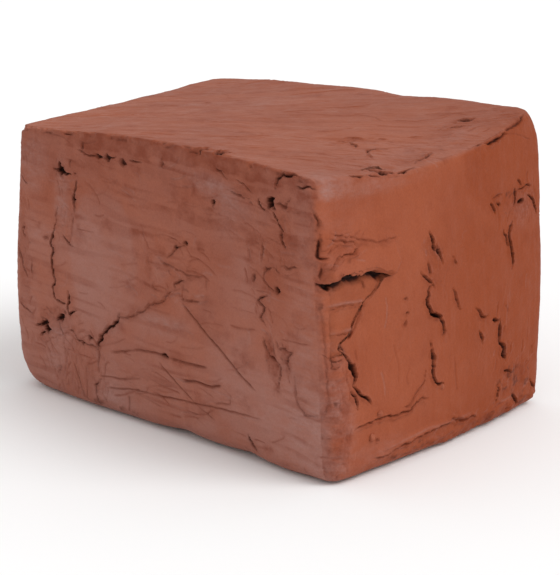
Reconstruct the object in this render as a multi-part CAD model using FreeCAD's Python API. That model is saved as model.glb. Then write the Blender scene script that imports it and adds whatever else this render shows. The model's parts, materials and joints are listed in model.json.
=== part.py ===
import FreeCAD, Part
import math
import os

Vector = FreeCAD.Vector

# A block of plastic modelling clay, slumped a little under its own weight. The block stands on z = 0,
# +X runs along its long side, -Y is its front. A core carries leaves of clay pressed on to its faces,
# and each leaf is cut from what the leaves outside it have left of the block, so that all of them meet
# face to face. All sizes are in millimetres.

# Driving dimensions
WIDTH = 227.0  # along X, halfway up
DEPTH = 179.0  # along Y
HEIGHT = 157.0  # nominal
LEAF = 8.0  # how deep a pressed-on leaf goes below the face
LAP = 5.0  # how deep a thin lap goes
TONGUE_DEPTH = 4.5
RIM_LAP = 3.0  # the lap over the right edge of the top
SHEET = 9.0  # the sheet that covers the top
POCKET_DEPTH = 4.0  # the pocket that was torn out under the tongue
TOP_ROUND = 3.5  # rounding of the rim of the top
BASE_ROUND = 9.0  # rounding of the rim of the base
EDGE_ROUND_TOP = 5.0  # rounding of the upright edges, at the top and at the base
EDGE_ROUND_BASE = 12.0
BELLY = 2.5  # how far the block swells out halfway up
BEYOND = 50.0  # how far a cutting prism reaches outside and inside the block
CLEAR = 8.0  # how far a cutting surface runs past the block's other sides

# How far each corner stands from the corner of the nominal box: x and y at the base, then x, y and z at the
# top. Outwards is positive, because the block has flared at its base.
SLUMP = {
    "front_left": ((12.0, -7.0), (-3.5, -3.5, -4.0)),
    "front_right": ((9.0, 3.5), (-4.5, 5.5, 1.0)),
    "back_right": ((10.0, -1.0), (0.5, 2.5, 8.5)),
    "back_left": ((4.5, -3.5), (4.5, -4.5, -0.5)),
}
SIDE_OF = {
    "front_left": (-1, -1),
    "front_right": (1, -1),
    "back_right": (1, 1),
    "back_left": (-1, 1),
}
SIDES = ("left", "right", "front", "back")
FRONT_CROWN = 5.0  # the top's front edge arches up by this much
BACK_CROWN = 3.0  # and so does its back edge
SIDE_SAG = 8.0  # its right edge sags
# How far each side bows outwards at the base and at the top, named by the corner that it starts from, going
# round the block counter-clockwise seen from above.
BOW = {
    "front_left": (1.0, -5.0),
    "front_right": (5.0, 6.0),
    "back_right": (1.0, 1.0),
    "back_left": (1.0, 1.0),
}


def corner(name, top):
    """A sharp corner of the slumped block, before its edges are rounded."""
    side_x, side_y = SIDE_OF[name]
    base_out, top_out = SLUMP[name]
    out = top_out if top else base_out
    x = side_x * (WIDTH / 2 + out[0])
    y = side_y * (DEPTH / 2 + out[1])
    return Vector(x, y, HEIGHT + top_out[2] if top else 0.0)


def mix(a, b, share):
    return a * (1 - share) + b * share


class Face:
    """One side of the block, a patch between four corners. u runs along it from its middle, v across it."""

    def __init__(self, name, corners, u_size, v_size, v_start):
        self.name = name
        self.corners = [corner(name, top) for name, top in corners]
        self.u_size = u_size
        self.v_size = v_size
        self.v_start = v_start
        a, b, c, d = self.corners
        self.normal = (c - a).cross(d - b).normalize()
        self.middle = (a + b + c + d) * 0.25

    def point(self, u, v):
        a, b, c, d = self.corners
        along = u / self.u_size + 0.5
        across = (v - self.v_start) / self.v_size
        return mix(mix(a, b, along), mix(d, c, along), across)

    def prism(self, outline):
        """A prism through the outline, from well inside the block to well outside it."""
        points = []
        for u, v in outline:
            p = self.point(u, v)
            height = (p - self.middle).dot(self.normal)
            points.append(p - self.normal * (height + BEYOND))
        face = Part.Face(Part.makePolygon(points + points[:1]))
        return face.extrude(self.normal * 2 * BEYOND)


FRONT = Face(
    "front",
    [("front_left", False), ("front_right", False), ("front_right", True), ("front_left", True)],
    WIDTH,
    HEIGHT,
    0.0,
)
SIDE = Face(
    "right",
    [("front_right", False), ("back_right", False), ("back_right", True), ("front_right", True)],
    DEPTH,
    HEIGHT,
    0.0,
)
TOP = Face(
    "top",
    [("front_left", True), ("front_right", True), ("back_right", True), ("back_left", True)],
    WIDTH,
    DEPTH,
    -DEPTH / 2,
)

# Outlines of the leaves, as (u, v) on their face. A point past the edge of the face only says that the leaf
# goes right to that edge. Neighbours share their points, so that they meet.
PAST = 150.0
LOW = -20.0
HIGH = 175.0

# The open seam down the left of the front, from the top to the base.
LEFT_SEAM = [(-88, HIGH), (-85, 147), (-84, 134), (-81, 116), (-82, 96), (-81, 69), (-76, 58)]
LEFT_SEAM += [(-80, 49), (-90, 38), (-88, 20), (-92, LOW)]
# The seam that climbs across the front from the left seam, and the score that falls again to the right one.
CLIMBING_SEAM = [(-80, 49), (-62, 39), (-46, 38), (-44, 45), (-33, 59), (-18, 68), (-6, 74), (14, 84)]
FALLING_SCORE = [(67, 42), (81, 53)]
# The ragged seam down the right of the front.
RIGHT_SEAM = [(78, HIGH), (75, 141), (87, 140), (92, 125), (84, 111), (84, 99), (76, 91), (77, 83)]
RIGHT_SEAM += [(72, 75), (81, 53)]
RIGHT_SEAM_LOW = [(86, 47), (89, 27), (82, LOW)]

# The torn tongue on the right face, and the pocket that it hangs over.
TONGUE = [(-PAST, 118), (-PAST, 107), (-88, 107), (-66, 107), (-57, 107), (-51, 104), (-45, 101)]
TONGUE += [(-39, 108), (-41, 116), (-57, 119), (-75, 119)]
POCKET = [(-95, 67), (-95, 110), (-54, 111), (-48, 101), (-65, 90), (-74, 77), (-81, 73), (-77, 68)]
# The seams round the four leaves below the tongue.
OVAL_LEFT = [(-48, 101), (-65, 90), (-74, 77), (-81, 73), (-75, 64), (-74, 54), (-72, 47), (-62, 41)]
OVAL_LEFT += [(-64, 34)]
OVAL_FOOT = [(-57, 31), (-27, 30), (-22, 36), (-18, 46)]
MIDDLE_SEAM = [(-8, 106), (-14, 99), (-13, 93), (-12, 89), (-17, 85), (-19, 78), (-15, 71), (-8, 66)]
MIDDLE_SEAM += [(-7, 58), (-14, 52), (-14, 44)]
UPPER_SEAM = [(-41, 116), (-30, 116), (-15, 113), (-8, 106), (6, 102), (22, 109), (41, 117), (52, 117)]
FAR_UPPER_SEAM = [(78, 116), (84, 106), (PAST, 101)]
FAR_SEAM = [(52, 117), (56, 105), (54, 94), (56, 84), (49, 70), (45, 57), (43, 48), (49, 43), (48, 33)]
FAR_SEAM += [(51, 25)]
BASE_SEAM = [(-57, 31), (-27, 30), (0, 24), (30, 19), (51, 18), (61, 11), (PAST, 7)]

# The lap that comes over the right edge of the top, from the front end of its seam to the back.
TOP_LAP_SEAM = [(94, -27), (82, -16), (68, -11), (58, -8), (65, 5), (73, 12), (81, 27), (86, 41)]
TOP_LAP_SEAM += [(85, 56), (80, 84)]
# The sheet over the top stops short of the right face, except at the front corner.
SHEET_OUTLINE = [(-PAST, -PAST), (PAST, -PAST), (PAST, -62), (103, -48), (103, PAST), (-PAST, PAST)]

# Every leaf of a face: its name, how deep it goes, and its outline.
FRONT_LEAVES = [
    ("front_left_lap", LEAF, [(-PAST, LOW), (-PAST, HIGH)] + LEFT_SEAM),
    ("front_centre_leaf", LEAF, LEFT_SEAM[:7] + CLIMBING_SEAM + FALLING_SCORE + RIGHT_SEAM[-2::-1]),
    (
        "front_lower_leaf",
        LEAF,
        LEFT_SEAM[8:] + RIGHT_SEAM_LOW[::-1] + FALLING_SCORE[::-1] + CLIMBING_SEAM[::-1],
    ),
    ("front_right_lap", LAP, RIGHT_SEAM + RIGHT_SEAM_LOW + [(PAST, LOW), (PAST, HIGH)]),
]
SIDE_LEAVES = [
    (
        "side_oval_leaf",
        LEAF,
        OVAL_LEFT + OVAL_FOOT + MIDDLE_SEAM[::-1] + UPPER_SEAM[2::-1] + [(-39, 108)],
    ),
    (
        "side_middle_leaf",
        LEAF,
        MIDDLE_SEAM + OVAL_FOOT[:1:-1] + BASE_SEAM[1:5] + FAR_SEAM[::-1] + UPPER_SEAM[-2:3:-1],
    ),
    ("side_far_leaf", LEAF, FAR_SEAM + BASE_SEAM[4:] + FAR_UPPER_SEAM[::-1]),
    (
        "side_upper_leaf",
        LEAF,
        [(-PAST, 118), (-75, 119), (-57, 119)] + UPPER_SEAM + FAR_UPPER_SEAM + [(PAST, HIGH), (-PAST, HIGH)],
    ),
    (
        "side_base_lap",
        LEAF,
        [(-PAST, LOW), (-PAST, 67), (-77, 68)] + OVAL_LEFT[4:] + BASE_SEAM + [(PAST, LOW)],
    ),
]

# Crumbs stuck to the right face: where each sits on it, and its radius.
CRUMBS = [(-62, 21, 1.9), (-56, 32, 1.6), (-8, 34, 1.5)]


def outline_at(height, inset):
    """The block's outline at one height: four bowed sides that meet at sharp corners.

    inset says how far each side stands inside the block's own."""
    share = height / HEIGHT
    belly = BELLY * 4 * share * (1 - share)
    names = list(SIDE_OF)
    corners = []
    for name in names:
        p = mix(corner(name, False), corner(name, True), share)
        side_x, side_y = SIDE_OF[name]
        x = p.x + side_x * (belly - inset["right" if side_x > 0 else "left"])
        y = p.y + side_y * (belly - inset["back" if side_y > 0 else "front"])
        corners.append(Vector(x, y, height))
    middle = (corners[0] + corners[1] + corners[2] + corners[3]) * 0.25
    edges = []
    for i, here in enumerate(corners):
        far = corners[(i + 1) % 4]
        outwards = ((here + far) * 0.5 - middle).normalize()
        at_base, at_top = BOW[names[i]]
        bow = at_base + (at_top - at_base) * share
        points = []
        for along in (0.0, 0.25, 0.5, 0.75, 1.0):
            points.append(mix(here, far, along) + outwards * bow * 4 * along * (1 - along))
        curve = Part.BSplineCurve()
        curve.interpolate(points)
        edges.append(curve.toShape())
    return Part.Wire(edges)


def top_height(along, across):
    """Height of the top surface, with along and across from 0 to 1 over the nominal box."""
    a, b, c, d = (p.z for p in TOP.corners)
    flat = (a * (1 - along) + b * along) * (1 - across) + (d * (1 - along) + c * along) * across
    crown = math.sin(math.pi * along) * (FRONT_CROWN * (1 - across) ** 2 + BACK_CROWN * across**2)
    sag = SIDE_SAG * math.sin(math.pi * across) * max(0.0, along) ** 2
    return flat + crown - sag


def above_top(depth):
    """All the space over a surface that lies depth below the block's crowned and sagging top."""
    steps = [-0.2, 0.0, 0.25, 0.5, 0.75, 1.0, 1.2]
    rows = []
    for s in steps:
        row = []
        for t in steps:
            row.append(Vector((s - 0.5) * WIDTH, (t - 0.5) * DEPTH, top_height(s, t) - depth))
        rows.append(row)
    surface = Part.BSplineSurface()
    surface.interpolate(rows)
    return surface.toShape().extrude(Vector(0, 0, HEIGHT))


def deeper_than(face, depth):
    """All the space more than depth behind one face of the block. It runs past the block's other sides."""
    inset = {side: -CLEAR for side in SIDES}
    if face.name in inset:
        inset[face.name] = depth
    outlines = [outline_at(HEIGHT * level, inset) for level in (-0.2, 0.0, 0.5, 1.0, 1.3)]
    body = Part.makeLoft(outlines, True, False)
    return body.cut(above_top(depth)) if face is TOP else body


def rim(shape, height, below):
    """The edges of the block's rim near the top or at the base."""
    found = []
    for edge in shape.Edges:
        box = edge.BoundBox
        if (below and box.ZMax < 1.0) or (not below and box.ZMin > height):
            found.append(edge)
    return found


def round_uprights(body):
    """Round the four upright edges, more at the base than at the top."""
    for side_x, side_y in SIDE_OF.values():
        for edge in body.Edges:
            box = edge.BoundBox
            if box.ZLength > HEIGHT / 2 and box.Center.x * side_x > 0 and box.Center.y * side_y > 0:
                radii = [EDGE_ROUND_BASE, EDGE_ROUND_TOP]
                if edge.Vertexes[0].Z > edge.Vertexes[-1].Z:
                    radii.reverse()
                body = body.makeFillet(radii[0], radii[1], [edge])
                break
    return body


def whole_block():
    """The slumped block before it is cut into its pieces, with its edges rounded."""
    inset = {side: 0.0 for side in SIDES}
    body = Part.makeLoft([outline_at(HEIGHT * level, inset) for level in (0.0, 0.5, 1.0, 1.2)], True, False)
    body = round_uprights(body.cut(above_top(0.0)))
    body = body.makeFillet(TOP_ROUND, rim(body, HEIGHT * 0.85, False))
    return body.makeFillet(BASE_ROUND, rim(body, 0.0, True))


def solid_of(shape):
    """The one large solid of a cut, without the slivers that a seam may leave at a rounded edge."""
    return max(shape.Solids, key=lambda s: s.Volume)


def crumbs_on(block):
    """Crumbs of clay, each a ball flattened where it sticks to the block."""
    crumbs = []
    for u, v, radius in CRUMBS:
        on_face = block.distToShape(Part.Vertex(SIDE.point(u, v)))[1][0][0]
        crumbs += Part.makeSphere(radius, on_face, SIDE.normal).cut(block).Solids
    return Part.makeCompound(crumbs)


def cut_pieces(block):
    """All the pieces of the block by name, cut off it from the outermost leaf inwards."""
    pieces = {}
    left = block

    def take(name, face, outline, depth):
        nonlocal left
        cutter = face.prism(outline).cut(deeper_than(face, depth))
        pieces[name] = solid_of(left.common(cutter))
        left = left.cut(cutter)

    take("top_side_lap", TOP, TOP_LAP_SEAM + [(PAST, 82), (PAST, -42)], RIM_LAP)
    take("top_sheet", TOP, SHEET_OUTLINE, SHEET)
    for name, depth, outline in FRONT_LEAVES:
        take(name, FRONT, outline, depth)
    take("side_torn_tongue", SIDE, TONGUE, TONGUE_DEPTH)
    left = left.cut(SIDE.prism(POCKET).cut(deeper_than(SIDE, POCKET_DEPTH)))
    for name, depth, outline in SIDE_LEAVES:
        take(name, SIDE, outline, depth)
    pieces["core"] = solid_of(left)
    pieces["crumbs"] = crumbs_on(block)
    return pieces


def main():
    block = whole_block()
    box = block.optimalBoundingBox()
    off_centre = Vector((box.XMin + box.XMax) / 2, (box.YMin + box.YMax) / 2, 0)
    os.makedirs("parts", exist_ok=True)
    for name, shape in cut_pieces(block).items():
        shape = shape.copy()
        shape.translate(off_centre * -1)
        shape.exportStep(f"parts/{name}.step")


main()
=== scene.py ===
import itertools
import json
import math

import bpy
import numpy as np
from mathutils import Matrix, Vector
from mathutils.bvhtree import BVHTree


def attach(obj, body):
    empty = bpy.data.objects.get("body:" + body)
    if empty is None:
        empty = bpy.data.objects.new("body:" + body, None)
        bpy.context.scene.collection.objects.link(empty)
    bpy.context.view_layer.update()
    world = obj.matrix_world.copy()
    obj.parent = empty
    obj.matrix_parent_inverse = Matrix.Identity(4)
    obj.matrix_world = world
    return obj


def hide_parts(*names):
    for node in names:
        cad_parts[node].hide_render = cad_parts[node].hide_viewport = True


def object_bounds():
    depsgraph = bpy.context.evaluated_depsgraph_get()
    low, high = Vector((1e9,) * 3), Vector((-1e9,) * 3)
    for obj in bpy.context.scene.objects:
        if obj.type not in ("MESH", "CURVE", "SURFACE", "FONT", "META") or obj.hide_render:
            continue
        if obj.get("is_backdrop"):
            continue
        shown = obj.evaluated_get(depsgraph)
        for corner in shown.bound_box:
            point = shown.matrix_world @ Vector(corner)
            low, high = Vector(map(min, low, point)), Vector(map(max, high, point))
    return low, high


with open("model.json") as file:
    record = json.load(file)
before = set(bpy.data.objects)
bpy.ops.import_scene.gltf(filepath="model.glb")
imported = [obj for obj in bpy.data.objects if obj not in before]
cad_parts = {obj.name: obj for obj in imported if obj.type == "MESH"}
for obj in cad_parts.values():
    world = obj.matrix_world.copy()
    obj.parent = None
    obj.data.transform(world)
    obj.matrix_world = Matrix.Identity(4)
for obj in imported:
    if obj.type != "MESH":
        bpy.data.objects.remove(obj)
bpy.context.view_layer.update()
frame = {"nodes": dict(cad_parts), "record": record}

# The looks of a slumped block of terracotta modelling clay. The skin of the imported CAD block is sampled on
# a fine lattice, torn and scored there, and cut into one closed mesh per CAD leaf and two for the core.
# Lengths are in millimetres until a mesh is made. A place on the front or back is (x, z), on the right or
# left (y, z) and on the top (x, y). Turns and slants are in degrees.

MM = 0.001
FINE = np.array([0.74, 0.74, 0.55])  # lattice cells along X, Y and Z
COARSE = FINE * 1.9  # on the faces that have no leaves
REACH = 24.0  # the sampling rays start this far outside the block's faces and aim this far inside them
POCKET_DEPTH = 4.0  # of the torn-out pocket in the CAD
POCKET_MARGIN = 5.0  # how far the pocket's floor runs on under the leaves round it
WALL = 5.0  # how far a leaf's edge goes down inside an open seam
UNDERCUT = 0.2  # how far that wall slants in under the leaf
TONGUE_UNDERCUT = 3.5  # the torn tongue's wall slants in further, so that it hangs over a shadow
TONGUE_LIFT = 4.0  # how far the tongue's lower edge stands out
CORE_DIP = 3.0  # how far the core's skin dips where it runs on under the leaves
APEX_DEPTH = 0.3  # of the way from a piece's middle to the block's, where its fan ends
# The tints at each point, in order: painted shade, near black in cracks, pits and creases, under the rim and
# under the torn tongue; a dried wash of clay with a painted sheen on the front and top; a dried wash of clay
# with painted highlights along ridges; torn, redder clay with painted shade high on the front and under the
# top's rim; damp clay.
TINTS = ("crack", "haze", "slip", "fresh", "damp")
FRONT, RIGHT, TOP, BACK, LEFT = "front", "right", "top", "back", "left"
PLANE = {FRONT: (0, 2), RIGHT: (1, 2), TOP: (0, 1), BACK: (0, 2), LEFT: (1, 2)}
OUTWARDS = {FRONT: (0, -1, 0), RIGHT: (1, 0, 0), TOP: (0, 0, 1), BACK: (0, 1, 0), LEFT: (-1, 0, 0)}


# ---------------------------------------------------------------- small helpers


def smooth(x, low, high):
    """0 at low, 1 at high, with a soft start and end."""
    t = np.clip((x - low) / (high - low), 0.0, 1.0)
    return t * t * (3 - 2 * t)


def noise(points, scale, seed):
    """Smooth random values from -1 to 1 that change over about scale."""
    table = np.random.default_rng(seed).uniform(-1, 1, (32, 32, 32))
    place = np.asarray(points) / scale
    cell = np.floor(place).astype(int)
    t = place - cell
    t = t * t * (3 - 2 * t)
    total = np.zeros(len(place))
    for step in itertools.product((0, 1), repeat=3):
        weight = np.prod(np.where(step, t, 1 - t), axis=1)
        x, y, z = ((cell + step) % 32).T
        total += weight * table[x, y, z]
    return total


def fractal(points, scale, seed, octaves=4):
    """Noise with detail down to scale / 2 ** octaves."""
    total = np.zeros(len(points))
    for i in range(octaves):
        total += noise(points, scale / 2**i, seed + i) / 2**i
    return total / 1.5


def line_distance(points, line):
    """For each point: how far it is from the polyline, where along it from 0 to 1, and on which side."""
    line = np.asarray(line, float)
    lengths = np.linalg.norm(np.diff(line, axis=0), axis=1)
    best = np.full(len(points), np.inf)
    along = np.zeros(len(points))
    side = np.ones(len(points))
    start = 0.0
    for a, b, length in zip(line, line[1:], lengths):
        edge = b - a
        t = np.clip((points - a) @ edge / length**2, 0, 1)
        offset = points - a - t[:, None] * edge
        distance = np.linalg.norm(offset, axis=1)
        better = distance < best
        best[better] = distance[better]
        along[better] = (start + t[better] * length) / lengths.sum()
        side[better] = np.sign(edge[0] * offset[better, 1] - edge[1] * offset[better, 0])
        start += length
    return best, along, side


# ---------------------------------------------------------------- the skin of the block


def lattice_axis(half, spacing):
    """Ray parameters from -1 to 1, so that the rays meet the block about one spacing apart."""
    count = int(round(2 * half / spacing / 2)) * 2
    fine = np.linspace(-1, 1, 4001)
    met = (half - REACH) * fine + REACH * fine**7
    return np.interp(np.linspace(-half, half, count + 1), met, fine)


def lattice(axes):
    """All lattice points on the surface of a box, and the quads between them, facing outwards."""
    counts = [len(axis) - 1 for axis in axes]
    quads = []
    for k in range(3):
        a, b = (k + 1) % 3, (k + 2) % 3
        i, j = np.meshgrid(np.arange(counts[a]), np.arange(counts[b]), indexing="ij")
        for level in (0, counts[k]):
            corners = []
            for di, dj in ((0, 0), (1, 0), (1, 1), (0, 1)):
                point = np.empty((i.size, 3), int)
                point[:, a] = i.ravel() + di
                point[:, b] = j.ravel() + dj
                point[:, k] = level
                corners.append(point)
            if level == 0:
                corners.reverse()
            quads.append(np.stack(corners, axis=1))
    quads = np.concatenate(quads)
    keys = (quads[..., 0] * (counts[1] + 1) + quads[..., 1]) * (counts[2] + 1) + quads[..., 2]
    unique, index = np.unique(keys, return_inverse=True)
    z = unique % (counts[2] + 1)
    y = unique // (counts[2] + 1) % (counts[1] + 1)
    x = unique // (counts[2] + 1) // (counts[1] + 1)
    return np.stack([axes[0][x], axes[1][y], axes[2][z]], axis=1), index.reshape(-1, 4)


def cad_tree(nodes):
    """A search tree over the CAD nodes, and the number of the node that each of its triangles belongs to."""
    points, triangles, owner = [], [], []
    for number, obj in enumerate(nodes):
        first = len(points)
        points += [tuple(v.co / MM) for v in obj.data.vertices]
        obj.data.calc_loop_triangles()
        for t in obj.data.loop_triangles:
            triangles.append([first + v for v in t.vertices])
            owner.append(number)
    return BVHTree.FromPolygons(points, triangles), np.array(owner)


def cast(tree, owner, starts, directions):
    """Where each ray first meets the CAD block, the surface's normal there, and the node that it meets."""
    places, normals, numbers = [], [], []
    for start, direction in zip(starts.tolist(), directions.tolist()):
        place, normal, triangle, _ = tree.ray_cast(start, direction)
        places.append(start if place is None else place)
        normals.append(direction if normal is None else normal)
        numbers.append(-1 if triangle is None else triangle)
    numbers = np.array(numbers)
    return np.array(places), np.array(normals), np.where(numbers < 0, 0, owner[numbers])


class Skin:
    """The outer surface of the block as one welded mesh of quads, with values at its points."""

    def __init__(self, nodes, spacing):
        self.names = [obj.name for obj in nodes]
        self.spacing = spacing
        tree, owner = cad_tree(nodes)
        low, high = (np.array(corner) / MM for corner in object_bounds())
        half, middle = (high - low) / 2, (high + low) / 2
        axes = [lattice_axis(half[k], spacing[k]) for k in range(3)]
        params, self.quads = lattice(axes)
        directions = params**7
        starts = middle + params * (half - REACH) + directions * 2 * REACH
        self.points, met, number = cast(tree, owner, starts, -directions)
        in_pocket = (number == self.names.index("core")) & (met[:, 0] > 0.9)
        self.points[in_pocket] += met[in_pocket] * POCKET_DEPTH
        for _ in range(3):
            self.drop_outliers()
        for _ in range(3):
            self.points = self.average(self.points)
        self.measure()
        self.warp = self.ragged_shift()
        self.label_quads(tree, owner, number)
        self.ease_borders()
        self.measure()
        self.smooth_normals = self.normals
        self.cut = np.zeros(len(self.points))
        self.raised = np.zeros(len(self.points))
        self.tints = {name: np.zeros(len(self.points)) for name in TINTS}

    def average(self, values):
        """Each point's value blended with those of the quads around it."""
        weight = np.bincount(self.quads.ravel(), minlength=len(values))
        around = values[self.quads].mean(axis=1)
        spread = np.repeat(around, 4, axis=0)
        index = self.quads.ravel()
        if values.ndim == 1:
            return np.bincount(index, spread, len(values)) / weight
        return np.stack([np.bincount(index, column, len(values)) / weight for column in spread.T], axis=1)

    def drop_outliers(self):
        """Pull in the points whose ray slipped through a joint between two CAD nodes."""
        around = self.average(self.average(self.points))
        off = np.linalg.norm(self.points - around, axis=1) > 1.0
        self.points[off] = around[off]

    def measure(self):
        """Set the normals, and each face's own points and plane coordinates."""
        a, b, c, d = (self.points[self.quads[:, k]] for k in range(4))
        flat = np.cross(c - a, d - b)
        spread = np.repeat(flat, 4, axis=0)
        index = self.quads.ravel()
        total = np.stack([np.bincount(index, column, len(self.points)) for column in spread.T], axis=1)
        self.normals = total / np.linalg.norm(total, axis=1)[:, None]
        self.facing = {face: self.normals @ np.array(way) for face, way in OUTWARDS.items()}

    def ragged_shift(self):
        """A small sideways shift at each point, which makes straight seams and cracks ragged."""
        shift = np.zeros_like(self.points)
        for axis in range(3):
            shift[:, axis] = 1.5 * noise(self.points, 9.0, 40 + axis)
            shift[:, axis] += 0.9 * noise(self.points, 3.6, 50 + axis)
            shift[:, axis] += 0.45 * noise(self.points, 1.7, 60 + axis)
        along_normal = (shift * self.normals).sum(axis=1)[:, None]
        shift -= self.normals * along_normal
        return shift

    def label_quads(self, tree, owner, number):
        """Give each quad the CAD node at its place, read through the ragged shift near the seams."""
        mixed = np.ptp(number[self.quads], axis=1) > 0
        near = np.zeros(len(self.points))
        near[self.quads[mixed].ravel()] = 1
        for _ in range(5):
            near = self.average(near)
        close = near > 1e-4
        starts = self.points[close] + self.warp[close] + self.normals[close] * 8
        number = number.copy()
        number[close] = cast(tree, owner, starts, -self.normals[close])[2]
        shares = [self.average(self.average((number == k).astype(float))) for k in range(len(self.names))]
        on_top = self.normals[:, 2] > 0.2
        shares[self.names.index("core")][on_top] *= 1e-6  # a leaf reaches over every sliver of core up there
        self.labels = np.argmax(shares, axis=0)[self.quads[:, 0]]

    def stain(self, tint, amounts, where=slice(None)):
        """Bring a tint up to at least these amounts."""
        values = self.tints[tint]
        values[where] = np.maximum(values[where], amounts)

    def share_of(self, name, passes):
        """1 inside a node's part of the skin and 0 outside it, blurred over a few cells."""
        index = self.quads[self.labels == self.names.index(name)].ravel()
        share = np.zeros(len(self.points))
        share[index] = 1.0
        for _ in range(passes):
            share = self.average(share)
        return share

    def ease_borders(self):
        """Take the steps of the lattice out of the seams."""
        edges = np.concatenate([self.quads[:, (k, (k + 1) % 4)] for k in range(4)])
        edges.sort(axis=1)
        labels = np.tile(self.labels, 4)
        order = np.lexsort((edges[:, 1], edges[:, 0]))
        edges, labels = edges[order].reshape(-1, 2, 2)[:, 0], labels[order].reshape(-1, 2)
        border = edges[labels[:, 0] != labels[:, 1]]
        ends = border.ravel()
        others = border[:, ::-1].ravel()
        count = np.bincount(ends, minlength=len(self.points))
        on_border = count > 0
        for _ in range(6):
            sums = [np.bincount(ends, self.points[others, k], len(self.points)) for k in range(3)]
            total = np.stack(sums, axis=1)
            around = total[on_border] / count[on_border][:, None]
            self.points[on_border] = 0.5 * self.points[on_border] + 0.5 * around


# ---------------------------------------------------------------- tears, pits, scores and smears

# A crack: its width, its depth, how far its lip stands up, and the line it follows. The lip is on the left
# of the line, or on the right where the number is below 0.
FRONT_CRACKS = [
    (1.2, 1.6, 0.5, [(-83, 113), (-84, 104), (-87, 97)]),
    (1.9, 4.0, 0.7, [(-86, 100), (-87, 91), (-85, 89), (-87, 84), (-87, 78), (-86, 71)]),
    (1.8, 4.0, 0.7, [(-86, 72), (-88, 67), (-87, 63), (-85, 57)]),
    (1.3, 2.5, 0.5, [(-86, 59), (-81, 58), (-78, 58)]),
    (2.0, 3.0, 0.7, [(-76, 66), (-74, 61), (-76, 56), (-74, 53), (-69, 56)]),
    (1.6, 2.5, 0.6, [(-103, 40), (-96, 42)]),
    (1.8, 2.5, 0.6, [(-101, 35), (-95, 38)]),
    (1.4, 1.5, 0.8, [(-77, 43), (-72, 44), (-69, 39), (-63, 39), (-58, 38), (-53, 38)]),
    (2.4, 2.8, 0.9, [(-54, 36), (-49, 44), (-45, 49), (-39, 55), (-33, 61)]),
    (1.1, 1.0, 1.0, [(-36, 59), (-23, 62), (-10, 71), (-2, 75), (6, 80), (10, 83)]),
    (1.4, 1.8, 0.5, [(10, 83), (10, 86), (13, 89), (16, 88)]),
    (1.2, 1.2, 0.6, [(13, 82), (17, 80), (28, 83)]),
    (1.1, 1.0, 0.6, [(-8, 85), (-7, 82), (-2, 81)]),
    (1.4, 0.9, 0.6, [(-6, 98), (2, 96), (9, 96), (15, 94), (18, 92), (32, 95)]),
    (1.2, 0.8, 0.4, [(32, 95), (33, 88)]),
    (1.2, 1.2, 0.5, [(2, 99), (8, 104), (12, 106), (16, 109)]),
    (1.8, 2.0, 0.3, [(-63, 152), (-63, 146)]),
    (1.2, 1.3, 0.5, [(-67, 146), (-58, 145), (-47, 146)]),
    (1.2, 1.6, 0.5, [(-47, 145), (-36, 148)]),
    (1.4, 1.8, 0.5, [(-33, 147), (-30, 144)]),
    (1.3, 1.4, 0.5, [(-27, 147), (-18, 147)]),
    (1.2, 1.2, 0.5, [(36, 154), (44, 150), (48, 149)]),
    (1.0, 1.0, 0.5, [(53, 149), (60, 148), (66, 145)]),
    (1.1, 1.3, 0.7, [(47, 143), (56, 142), (64, 142)]),
    (1.4, 1.6, 0.4, [(-73, 140), (-72, 136)]),
    (1.7, 2.6, 0.5, [(-67, 131), (-68, 123), (-69, 117), (-70, 112)]),
    (1.1, 1.0, 0.4, [(-70, 112), (-71, 104), (-71, 96)]),
    (1.8, 2.6, 0.6, [(-79, 98), (-75, 96), (-70, 93)]),
    (1.3, 1.6, 0.5, [(-116, 87), (-113, 79), (-112, 72), (-109, 68)]),
    (1.3, 1.4, 0.5, [(-105, 78), (-104, 69)]),
    (1.3, 1.6, 0.4, [(-111, 97), (-110, 90)]),
    (1.3, 1.4, 0.6, [(-111, 126), (-106, 122)]),
    (1.4, 1.6, 0.5, [(-118, 53), (-113, 49), (-106, 46)]),
    (1.3, 1.8, 0.5, [(-51, 20), (-56, 16), (-54, 9), (-51, 4)]),
    (2.2, 3.0, 0.6, [(70, 144), (72, 141), (75, 137)]),
    (2.0, 3.0, 0.8, [(80, 140), (86, 135), (88, 129)]),
    (2.2, 3.2, 0.6, [(86, 130), (87, 125), (90, 121)]),
    (1.2, 1.4, 0.7, [(82, 142), (91, 142), (94, 147)]),
    (1.8, 2.6, 0.7, [(82, 150), (83, 155), (87, 157), (97, 158)]),
    (1.5, 2.2, 0.6, [(96, 154), (107, 154)]),
    (1.4, 1.4, 0.5, [(73, 122), (73, 110)]),
    (1.3, 1.6, 0.8, [(81, 109), (77, 108), (76, 103), (78, 100), (81, 97)]),
    (1.2, 1.0, 0.7, [(81, 109), (86, 108)]),
    (1.3, 1.3, -0.9, [(86, 112), (93, 112), (101, 113)]),
    (1.5, 2.0, 0.8, [(77, 94), (72, 90), (76, 87), (75, 83), (73, 81), (77, 78)]),
    (1.6, 1.8, 0.6, [(74, 73), (77, 66), (81, 62), (86, 59), (86, 52), (84, 45)]),
    (1.3, 1.4, 0.7, [(83, 73), (86, 68), (94, 68), (91, 62), (93, 56)]),
    (1.1, 0.9, 0.6, [(95, 56), (98, 43), (104, 38), (113, 39)]),
    (2.2, 3.5, 0.6, [(61, 15), (65, 10), (68, 6)]),
]
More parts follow.
